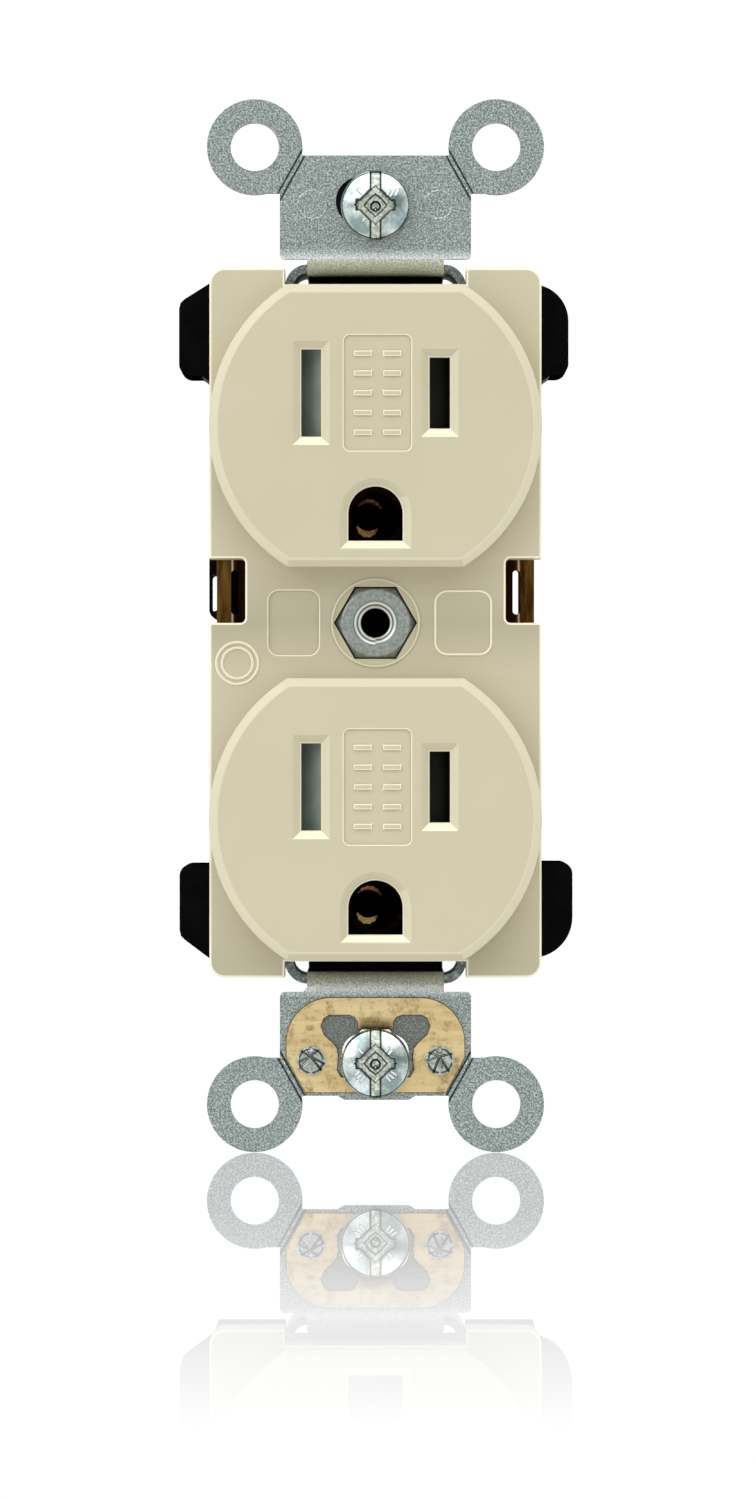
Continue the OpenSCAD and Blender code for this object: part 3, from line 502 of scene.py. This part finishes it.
def rounded_copy(node, groups, extra_materials, paint):
    """Copies a CAD node and rounds its outward edges, one group at a time.

    groups is a list of (width in mm, segments, material, test), and test picks edges by their
    middle, in mm. paint(middle, normal) gives the material of each other face. The narrow groups
    keep clear of their neighbours by getting narrower still."""
    bm = bmesh.new()
    bm.from_mesh(nodes[node].data)
    bmesh.ops.remove_doubles(bm, verts=bm.verts, dist=0.002 * MM)
    bmesh.ops.dissolve_limit(bm, angle_limit=math.radians(0.8), verts=bm.verts, edges=bm.edges)
    for face in bm.faces:
        face.material_index = paint(face.calc_center_median() / MM, face.normal)
    for width, segments, material, test in groups:
        chosen = []
        for edge in bm.edges:
            if len(edge.link_faces) != 2 or not edge.is_convex:
                continue
            middle = (edge.verts[0].co + edge.verts[1].co) / (2 * MM)
            if edge.calc_face_angle(0) >= math.radians(28) and test(middle):
                chosen.append(edge)
        if chosen:
            bmesh.ops.bevel(
                bm, geom=chosen, offset=width * MM, offset_type="OFFSET", segments=segments,
                profile=0.5, affect="EDGES", clamp_overlap=width < 0.1, material=material,
            )
    bmesh.ops.dissolve_degenerate(bm, dist=0.0005 * MM, edges=bm.edges)
    o = new_piece(node + "_finished", finish_mesh(bm, node), node)
    for extra in extra_materials:
        o.data.materials.append(extra)
    weighted(o)


def height_disc(
    name, node, centre, radius, step, height, skirt, seat_y, materials, replaces, tone=None
):
    """A round head whose front is height(x, z) mm above its seat, with a skirt down to the seat.

    The front is a square grid cut to a circle, so straight slots come out clean. The skirt is a
    list of (share of the radius, height). tone(x, z, level) gives a face's material, but steep
    faces take the second one unless they have the fourth."""
    bm = bmesh.new()
    count = math.ceil(radius / step)
    grid = {}
    for i in range(-count, count + 1):
        for k in range(-count, count + 1):
            x, z = i * step, k * step
            r = math.hypot(x, z)
            if r > radius + 0.72 * step:
                continue
            if r > radius - 0.3 * step:
                x, z = x * radius / r, z * radius / r
            point = Vector((centre[0] + x, seat_y - height(x, z), centre[1] + z))
            grid[i, k] = bm.verts.new(point * MM)
    for (i, k), corner in grid.items():
        quad = [corner] + [grid.get(at) for at in ((i + 1, k), (i + 1, k + 1), (i, k + 1))]
        if None in quad:
            continue
        face = bm.faces.new(quad)
        levels = [seat_y - v.co.y / MM for v in quad]
        r = math.hypot(i + 0.5, k + 0.5) * step
        face.material_index = tone((i + 0.5) * step, (k + 0.5) * step, max(levels)) if tone else 0
        # Steep faces take the second material, painted shade for creases and cuts
        steep = max(levels) - min(levels) > 0.75 * step and r < radius - 2 * step
        if steep and face.material_index != 3:
            face.material_index = 1
    loops = []
    for share, level in skirt:
        loop = []
        for turn in range(120):
            a = 2 * math.pi * turn / 120
            x, z = radius * share * math.cos(a), radius * share * math.sin(a)
            loop.append(bm.verts.new(Vector((centre[0] + x, seat_y - level, centre[1] + z)) * MM))
        loops.append(loop)
    join_rings(bm, loops)
    bmesh.ops.recalc_face_normals(bm, faces=bm.faces)
    o = new_piece(name, finish_mesh(bm, name, 50), node, materials[0], replaces)
    for extra in materials[1:]:
        o.data.materials.append(extra)


def smooth_step(value, low, high):
    """0 below low and 1 above high, with a smooth rise between."""
    t = min(1.0, max(0.0, (value - low) / (high - low)))
    return t * t * (3 - 2 * t)


def threaded_rod(name, node, x, z, start, length, major, minor, pitch):
    """A right-hand threaded rod along +Y, from start for length, all in mm.

    With radii that are nearly the same it is a plain shank."""
    bm = bmesh.new()
    around, per_turn = 36, 8
    along = Vector((0, 1, 0))
    side = along.orthogonal().normalized()
    up = along.cross(side)
    rings = []
    count = max(2, int(length / pitch * per_turn))
    for i in range(count + 1):
        y = length * i / count
        ring = []
        for k in range(around):
            phase = (y / pitch - k / around) % 1
            tooth = 1 - abs(2 * phase - 1)
            r = minor + (major - minor) * smooth_step(tooth, 0.1, 0.9)
            r = min(r, minor + (major - minor) * min(1, (length - y) / 0.6 + 0.1))
            a = 2 * math.pi * k / around
            point = Vector((x, start + y, z)) + side * r * math.cos(a) + up * r * math.sin(a)
            ring.append(bm.verts.new(point * MM))
        rings.append(ring)
    new_piece(name, close_tube(bm, rings, name, 60), node, replaces=False)


def coil(name, node, start, length, r, wire_r, turns):
    """A close coil spring along +X, as a mesh tube."""
    bm = bmesh.new()
    sides, steps = 10, int(turns * 28)
    rings = []
    for i in range(steps + 1):
        t = i / steps
        a = 2 * math.pi * turns * t
        outward = Vector((0, math.cos(a), math.sin(a)))
        centre = Vector(start) + Vector((length * t, 0, 0)) + r * outward
        ahead = Vector((1, 0, 0))
        ring = [
            bm.verts.new((centre + wire_r * (outward * math.cos(b) + ahead * math.sin(b))) * MM)
            for b in (2 * math.pi * k / sides for k in range(sides))
        ]
        rings.append(ring)
    return new_piece(name, close_tube(bm, rings, name, 60), node)


# ---- Face cover ---------------------------------------------------------------------------

# The cover's sizes in mm; the outlets' centres are OUTLET_Z above and below the middle
COVER_FRONT, FACE_FRONT = -3.4, -7.3
HALF_W, HALF_H, CORNER_R = 16.45, 35.15, 1.5
END_NOTCH_X, END_NOTCH_D = 9.0, 1.6
SIDE_NOTCH_X, SIDE_NOTCH_H = 12.9, 6.4
OUTLET_Z = 19.45


def on_cover_edge(p):
    """The front edge along the base's ends, its notches and its round corners."""
    if abs(p.y - COVER_FRONT) > 0.02:
        return False
    x, z = abs(p.x), abs(p.z)
    from_corner = x - (HALF_W - CORNER_R), z - (HALF_H - CORNER_R)
    near_end = z > HALF_H - 0.25
    corner = min(from_corner) > -0.05 and math.hypot(*from_corner) > CORNER_R - 0.1
    end_notch = z > HALF_H - END_NOTCH_D - 0.05 and x < END_NOTCH_X + 0.05
    side_notch = x > SIDE_NOTCH_X - 0.05 and -0.05 < p.z < SIDE_NOTCH_H + 0.05
    return near_end or corner or end_notch or side_notch


def at_openings(p):
    """In the height of a face's openings."""
    return 7.5 < abs(p.z) < 31.5


def on_rim(p):
    """The chamfer round a raised face."""
    inside = math.hypot(p.x, abs(p.z) - OUTLET_Z) <= 13 and at_openings(p)
    return p.y < FACE_FRONT + 0.55 and not inside


def on_mouth(p):
    """The inner edges of the lead-ins round the slots and the ground holes."""
    return abs(p.y - FACE_FRONT - 0.6) < 0.04 and abs(p.x) < 9 and at_openings(p)


def on_panel(p):
    """The small panel between the slots, with its bars."""
    height = p.z if p.z > 0 else p.z + 2 * OUTLET_Z
    return p.y < FACE_FRONT + 0.3 and abs(p.x) < 3.6 and 16.5 < height < 29


def on_marks(p):
    """The outlines of the pads and rings on the flat base, between the outlets."""
    pads = 4.9 < abs(p.x) < 12.5 or p.z < -1.2 and p.x < -11
    return -3.6 < p.y < -3.2 and abs(p.z) < 7.5 and pads


def on_lead_in(p):
    """The outer edges of the lead-ins, and whatever else lies in the plane of a face."""
    return p.y < FACE_FRONT + 0.02 and abs(p.x) < 10


def ivory_highlight_tone(middle, normal):
    """Painted highlights: 1 for the sills that face up, 2 for the rims and the lead-ins that face the
    light.
    """
    if not FACE_FRONT + 0.02 < middle.y < FACE_FRONT + 0.58 or not 0.3 < -normal.y < 0.97:
        return 0
    if on_rim(middle):
        return 2 if normal.z > -0.5 else 0
    if normal.z > 0.3:
        return 1
    return 2 if normal.x < -0.5 else 0


def on_outside(p):
    """Every other edge at the front, the sides and the ends."""
    return p.y < COVER_FRONT + 0.5 or abs(p.x) > HALF_W - 0.15 or abs(p.z) > HALF_H - 0.25


# The bevels' materials 1 and 2 are painted highlights, brighter copies of the ivory
rounded_copy("face_cover", [
    (0.2, 3, 1, on_cover_edge),
    (0.13, 2, 2, on_rim),
    (0.15, 2, 1, on_mouth),
    (0.1, 2, 1, on_panel),
    (0.1, 2, 1, on_marks),
    (0.06, 2, 2, on_lead_in),
    (0.06, 2, 2, on_outside),
], [IVORY_EDGE_HIGHLIGHT, IVORY_RIM_HIGHLIGHT], ivory_highlight_tone)

# ---- Other carried-over nodes ---------------------------------------------------------------

EDGE_ROUNDING = {
    "rear_body": 0.25, "mounting_strap": 0.1, "centre_post": 0.1, "grounding_clip": 0.07,
}
# Dark copies of the metal, painted shade along the rounded edges
EDGE_SHADE_MATERIALS = {"mounting_strap": STEEL_EDGE_SHADE, "grounding_clip": CLIP_EDGE_SHADE}


def soften(node):
    """Merges a carried-over node's flat facets and rounds its sharp edges."""
    o = nodes[node]
    o.data.polygons.foreach_set("use_smooth", [True] * len(o.data.polygons))
    weld = o.modifiers.new("weld", "WELD")
    weld.merge_threshold = 0.002 * MM
    flat = o.modifiers.new("flat", "DECIMATE")
    flat.decimate_type = "DISSOLVE"
    flat.angle_limit = math.radians(0.8)
    bevel = o.modifiers.new("edges", "BEVEL")
    bevel.width = EDGE_ROUNDING.get(node, 0.08) * MM
    bevel.segments = 3
    bevel.limit_method = "ANGLE"
    bevel.angle_limit = math.radians(32)
    # The clip's short edges would otherwise leave its long ones sharp
    bevel.use_clamp_overlap = node != "grounding_clip"
    # Painted shade: the strap's and the clip's rounded edges take a dark copy of their metal
    if node in EDGE_SHADE_MATERIALS:
        o.data.materials.append(EDGE_SHADE_MATERIALS[node])
        bevel.material = 1
    weighted(o)


for name, o in nodes.items():
    if o.hide_render:
        continue
    o.data.materials.clear()
    o.data.materials.append(MATERIALS[slots[name]])
    if not name.endswith("_spring"):
        soften(name)
# The wings' tops and undersides stay matt, so they don't mirror the white tent
rear = nodes["rear_body"].data
rear.materials.append(MATT_BLACK)
for face in rear.polygons:
    if abs(face.normal.z) > 0.3 and abs(face.center.x) > 16.5 * MM:
        face.material_index = 1
# Painted shade: the ground sleeves take dark brass
for name in ("upper_ground_contact", "lower_ground_contact"):
    nodes[name].data.materials[0] = SHADED_GROUND_BRASS
nodes["centre_post"].data.materials[0] = POST_STEEL

# ---- Shutter springs ------------------------------------------------------------------------

for end in ("upper", "lower"):
    node = end + "_shutter_spring"
    lo, hi = (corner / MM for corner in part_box(node))
    start = (lo.x + 0.15, (lo.y + hi.y) / 2, (lo.z + hi.z) / 2)
    length, coil_r = hi.x - lo.x - 0.3, (hi.z - lo.z) / 2 - 0.15
    spring = coil(end + "_spring_wire", node, start, length, coil_r, 0.14, 6)
    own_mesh(spring)

# ---- Lips inside the ground sleeves ---------------------------------------------------------


def sleeve_lip(name, node, centre, inner_r, y, turns, wide, material):
    """A curved lip at the back of a sleeve, wide in its middle and pointed at its ends."""
    bm = bmesh.new()
    rows = []
    for k in range(49):
        a = math.radians(turns[0] + (turns[1] - turns[0]) * k / 48)
        ragged = 0.05 * math.sin(k * 1.9) + 0.04 * math.sin(k * 0.7)
        outer_r = inner_r + 0.12 + wide * math.sin(math.pi * k / 48) + ragged
        outer = (outer_r * math.cos(a), outer_r * math.sin(a))
        inner = (inner_r * math.cos(a), inner_r * math.sin(a))
        rows.append([
            bm.verts.new(Vector((centre[0] + x, y + depth, centre[1] + z)) * MM)
            for (x, z), depth in ((outer, 0), (inner, 0.03), (inner, 0.6), (outer, 0.6))
        ])
    new_piece(name, close_tube(bm, rows, name, 40), node, material, False)


LIP_FRONT = 10.5
# Painted light: the upper lip is a shaded copy of the brass, the lower one a lit copy
for end, outlet in (("upper", 1), ("lower", -1)):
    node = end + "_ground_contact"
    centre = (-0.72, outlet * OUTLET_Z - 8.7)
    sleeve_lip(end + "_ground_top_lip", node, centre, 1.5, LIP_FRONT, (35, 132), 0.25, SHADED_LIP)
    sleeve_lip(end + "_ground_base_lip", node, centre, 1.32, LIP_FRONT, (215, 312), 0.5, LIT_LIP)

# ---- Clip rivets ----------------------------------------------------------------------------


def staked_head(stakes):
    """Height of a rivet head: nearly flat, with straight stake cuts and a small round dent."""

    def height(x, z):
        level = 0.5 - 0.22 * smooth_step(math.hypot(x, z), 0.95, 1.42)
        cut = 0.14 * (1 - smooth_step(math.hypot(x + 0.05, z - 1.05), 0.2, 0.36))
        for turn, reach, deep in stakes:
            a = math.radians(turn)
            along = (x + 0.05) * math.cos(a) + (z - 0.45) * math.sin(a)
            across = abs((z - 0.45) * math.cos(a) - (x + 0.05) * math.sin(a))
            if -0.1 < along < reach:
                cut = max(cut, deep * (1 - smooth_step(across, 0.03, 0.12)))
        tilt = 0.05 * (x * math.cos(3 * math.atan2(z, x)))
        return level - cut + tilt

    return height


# The cuts on each head: (turn in degrees, reach, depth)
STAKES = (
    (
        (205, 1.3, 0.16), (228, 1.6, 0.1), (-52, 2.2, 0.26),
        (-28, 1.6, 0.22), (38, 1.0, 0.2), (150, 1.2, 0.18),
    ),
    (
        (250, 2.0, 0.24), (-58, 2.2, 0.24), (-75, 1.2, 0.1),
        (12, 1.5, 0.2), (160, 1.4, 0.14), (198, 1.4, 0.12),
    ),
)
RIVET_X = 6.4
# Front face of the brass clip
CLIP_FRONT = -1.72
# A pitch for the rods that are plain shanks
PLAIN_PITCH = 5
# Each rivet's rods: (name, start, length, larger and smaller radius)
RIVET_RODS = (("shank", -1.75, 2.0, 1.0, 0.99), ("tail", 0.0, 0.5, 1.4, 1.38))
lo, hi = (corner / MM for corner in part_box("clip_rivets"))
rivet_z = (lo.z + hi.z) / 2
for index, (x, stakes) in enumerate(zip((-RIVET_X, RIVET_X), STAKES)):
    number = index + 1
    height_disc(
        f"clip_rivet_head_{number}", "clip_rivets", (x, rivet_z), 1.42, 0.035, staked_head(stakes),
        [(1.0, 0.27), (1.0, 0.0), (0.6, 0.0)], CLIP_FRONT, (RIVET_STEEL, STEEL_EDGE_SHADE),
        replaces=index == 0,
    )
    for part, *sizes in RIVET_RODS:
        name = f"clip_rivet_{part}_{number}"
        threaded_rod(name, "clip_rivets", x, rivet_z, *sizes, PLAIN_PITCH)

# ---- Box screws -----------------------------------------------------------------------------


def stroke_at(strokes, x, z):
    """0 to 1: how far a point lies on one of the strokes (x, z, turn, half length, half width).

    The raised strokes by the recess are tool marks, painted near white as highlights."""
    best = 0
    for cx, cz, turn, half_long, half_wide in strokes:
        a = math.radians(turn)
        along = abs((x - cx) * math.cos(a) + (z - cz) * math.sin(a))
        across = abs((z - cz) * math.cos(a) - (x - cx) * math.sin(a))
        near = 1 - smooth_step(across, 0.5 * half_wide, 1.5 * half_wide)
        best = max(best, near * (1 - smooth_step(along, half_long - 0.08, half_long)))
    return best


HEAD_R = 3.43


def dome_at(r):
    """Height of the plain dome, a part of a sphere of radius 7."""
    return -5.1 + math.sqrt(49 - min(r, HEAD_R) ** 2)


def box_head(strokes):
    """Height of a box screw's head: a dome with a full slot, a tapered cross recess and strokes."""

    def height(x, z):
        r = math.hypot(x, z)
        slot = 1 - smooth_step(abs(x), 0.42, 0.62)
        cross = (1 - smooth_step(abs(z), 0.42, 0.62)) * (1 - smooth_step(abs(x), 1.8, 2.0))
        diamond = 1 - smooth_step(abs(x) + abs(z), 1.9, 2.15)
        inner = 1 - smooth_step(abs(x) + abs(z) - 0.2 * min(abs(x), abs(z)), 1.0, 1.2)
        depth = max(0.5 * slot, 0.6 * cross, 0.6 * diamond) + 0.3 * inner
        depth += 0.3 * (1 - smooth_step(math.hypot(x, z + 0.1), 0.3, 0.6))
        depth -= 0.3 * (1 - smooth_step(math.hypot(x, z + 0.45), 0.1, 0.25))
        edge = 0.2 * smooth_step(r, 3.25, HEAD_R)
        return dome_at(r) - edge + 0.1 * stroke_at(strokes, x, z) - depth

    return height


def box_screw(node, strokes):
    """A box screw: its head, its thinner neck and its thread."""
    lo, hi = (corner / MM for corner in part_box(node))
    z = (lo.z + hi.z) / 2
    seat = CLIP_FRONT - 0.13

    def tone(x, z, level):
        # 3 is the painted highlight of the tool marks; steep faces get the painted shade of the
        # creases
        if stroke_at(strokes, x, z) > 0.3 and abs(x) + abs(z) > 2.1:
            return 3
        return 2 if level < dome_at(math.hypot(x, z)) - 0.42 else 0

    height_disc(
        node + "_head", node, (0, z), HEAD_R, 0.05, box_head(strokes),
        [(1.0, 0.8), (1.0, 0.12), (0.965, 0.0), (0.4, 0.0)], seat,
        (SCREW_ZINC, SCREW_CREASE_SHADE, SCREW_FLOOR, SCREW_TICK_HIGHLIGHT), replaces=True, tone=tone,
    )
    threaded_rod(node + "_thread", node, 0, z, 1.0, hi.y - 1.0, 1.75, 1.4, 0.794)
    threaded_rod(node + "_neck", node, 0, z, seat - 0.01, 1.05 - seat, 1.4, 1.38, PLAIN_PITCH)


STROKES = {
    "upper_box_screw": (
        (1.25, 1.15, 58, 0.45, 0.08), (1.7, 1.2, 58, 0.45, 0.08), (2.15, 1.25, 58, 0.42, 0.08),
        (-1.45, 1.3, -45, 0.45, 0.15), (-1.15, -1.5, 45, 0.32, 0.06), (1.4, -1.3, -42, 0.4, 0.05),
    ),
    "lower_box_screw": (
        (-1.5, 1.25, -50, 0.4, 0.07), (1.2, 1.4, 50, 0.35, 0.07), (1.5, 1.15, 50, 0.35, 0.07),
        (-1.85, -1.0, 35, 0.38, 0.07), (-1.6, -1.3, 42, 0.38, 0.07), (-1.3, -1.55, 50, 0.38, 0.07),
        (1.85, -1.0, -35, 0.38, 0.07), (1.6, -1.3, -42, 0.38, 0.07), (1.3, -1.55, -50, 0.38, 0.07),
    ),
}
for node, strokes in STROKES.items():
    box_screw(node, strokes)

# ---- Floor, backdrop and light --------------------------------------------------------------


def grey_ramp(tree, value, stops):
    """Numbers along a value from 0 to 1: stops is a list of (position, number up to 2)."""
    node = tree.nodes.new("ShaderNodeValToRGB")
    while len(node.color_ramp.elements) < len(stops):
        node.color_ramp.elements.new(0.5)
    for element, (position, number) in zip(node.color_ramp.elements, stops):
        element.position = position
        element.color = (number / 2, number / 2, number / 2, 1)
    tree.links.new(value, node.inputs["Fac"])
    return maths(tree, "MULTIPLY", node.outputs["Color"], 2.0)


def make_floor():
    """A white floor whose mirror image of the object fades toward the front."""
    bpy.ops.mesh.primitive_plane_add(size=8, location=(0, 0, cad_lo.z - 0.05 * MM))
    floor = bpy.context.object
    floor.name = "floor"
    material = bpy.data.materials.new("floor")
    material.use_nodes = True
    tree = material.node_tree
    tree.nodes.clear()
    out = tree.nodes.new("ShaderNodeOutputMaterial")
    pale = tree.nodes.new("ShaderNodeEmission")
    pale.inputs["Strength"].default_value = 1.02
    gloss = tree.nodes.new("ShaderNodeBsdfGlossy")
    gloss.inputs["Color"].default_value = (1, 1, 1, 1)
    gloss.inputs["Roughness"].default_value = 0.0
    blend = tree.nodes.new("ShaderNodeMixShader")
    place = tree.nodes.new("ShaderNodeTexCoord")
    split = tree.nodes.new("ShaderNodeSeparateXYZ")
    tree.links.new(place.outputs["Object"], split.inputs["Vector"])
    nearness = map_range(tree, split.outputs["Y"], -0.4, 0.0, 0.0, 1.0)
    share = grey_ramp(tree, nearness, [
        (0.0, 0.0), (0.085, 0.02), (0.16, 0.08), (0.24, 0.14),
        (0.365, 0.26), (0.516, 0.46), (0.71, 0.62), (1.0, 0.66),
    ])
    tree.links.new(share, blend.inputs["Fac"])
    tree.links.new(pale.outputs["Emission"], blend.inputs[1])
    tree.links.new(gloss.outputs["BSDF"], blend.inputs[2])
    tree.links.new(blend.outputs["Shader"], out.inputs["Surface"])
    floor.data.materials.append(material)


def make_world():
    """A white studio tent that lights more from the sides than from the front.

    Two soft lamps add light from the upper left and right, a dark card takes some from the lower
    right, and the backdrop is plain white."""
    world = bpy.data.worlds.new("studio")
    bpy.context.scene.world = world
    world.use_nodes = True
    tree = world.node_tree
    background = tree.nodes["Background"]
    background.inputs["Color"].default_value = (1, 1, 1, 1)
    direction = tree.nodes.new("ShaderNodeTexCoord").outputs["Generated"]
    split = tree.nodes.new("ShaderNodeSeparateXYZ")
    tree.links.new(direction, split.inputs["Vector"])
    around = map_range(tree, split.outputs["Y"], -1.0, 1.0, 0.0, 1.0)
    tent = grey_ramp(tree, around, [
        (0.0, 0.4), (0.08, 0.48), (0.22, 0.84), (0.4, 1.05), (0.65, 0.84), (1.0, 0.8),
    ])
    tilt = map_range(tree, split.outputs["Z"], -1.0, 1.0, 0.7, 1.3)
    lit = maths(tree, "MULTIPLY", tent, tilt)
    lamps = (((-0.55, -0.65, 0.52), 1.6), ((0.25, -0.72, 0.65), 1.2), ((0.7, -0.5, -0.5), -0.5))
    for towards, gain in lamps:
        facing = tree.nodes.new("ShaderNodeVectorMath")
        facing.operation = "DOT_PRODUCT"
        facing.inputs[1].default_value = Vector(towards).normalized()
        tree.links.new(direction, facing.inputs[0])
        lamp = map_range(tree, facing.outputs["Value"], 0.9, 0.96, 0.0, gain)
        lit = maths(tree, "ADD", lit, lamp)
    path = tree.nodes.new("ShaderNodeLightPath")
    seen = maths(tree, "MAXIMUM", path.outputs["Is Camera Ray"], path.outputs["Is Singular Ray"])
    level = tree.nodes.new("ShaderNodeMix")
    tree.links.new(seen, level.inputs[0])
    tree.links.new(lit, level.inputs[2])
    level.inputs[3].default_value = 1.05
    tree.links.new(level.outputs[0], background.inputs["Strength"])


make_floor()
make_world()

bpy.context.scene.view_settings.view_transform = "Standard"
